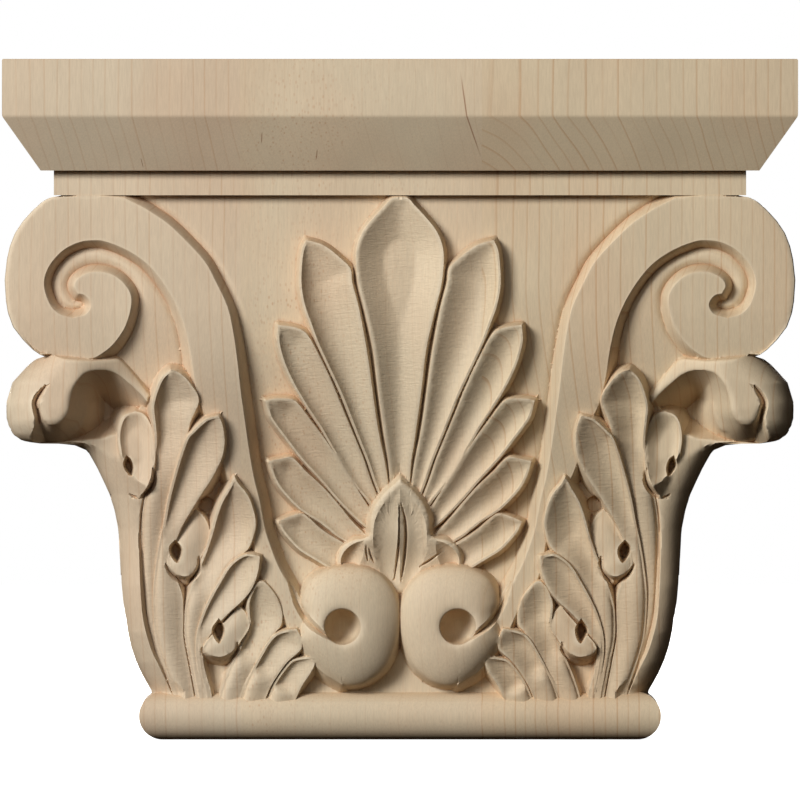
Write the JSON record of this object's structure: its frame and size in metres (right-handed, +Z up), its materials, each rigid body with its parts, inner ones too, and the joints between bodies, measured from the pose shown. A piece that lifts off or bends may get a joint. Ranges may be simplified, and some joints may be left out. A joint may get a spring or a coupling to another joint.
{
  "type": "pilaster capital",
  "caption": "Flat-backed wall capital with a square abacus, corner volutes, a central palmette, acanthus leaves and a half-round torus foot, carved in the solid.",
  "frame": {"origin": "underside of the torus, halfway across the front and halfway between the abacus front and the flat back", "axes": "+X to the viewer's right along the front, +Y into the wall, +Z up; the carved face looks along -Y"},
  "size_m": [0.2866, 0.095, 0.2464],
  "materials": {
    "maple": "unfinished, sanded flats and tool-cut hollows"
  },
  "bodies": {
    "root": {"capital": "maple"}
  },
  "joints": []
}
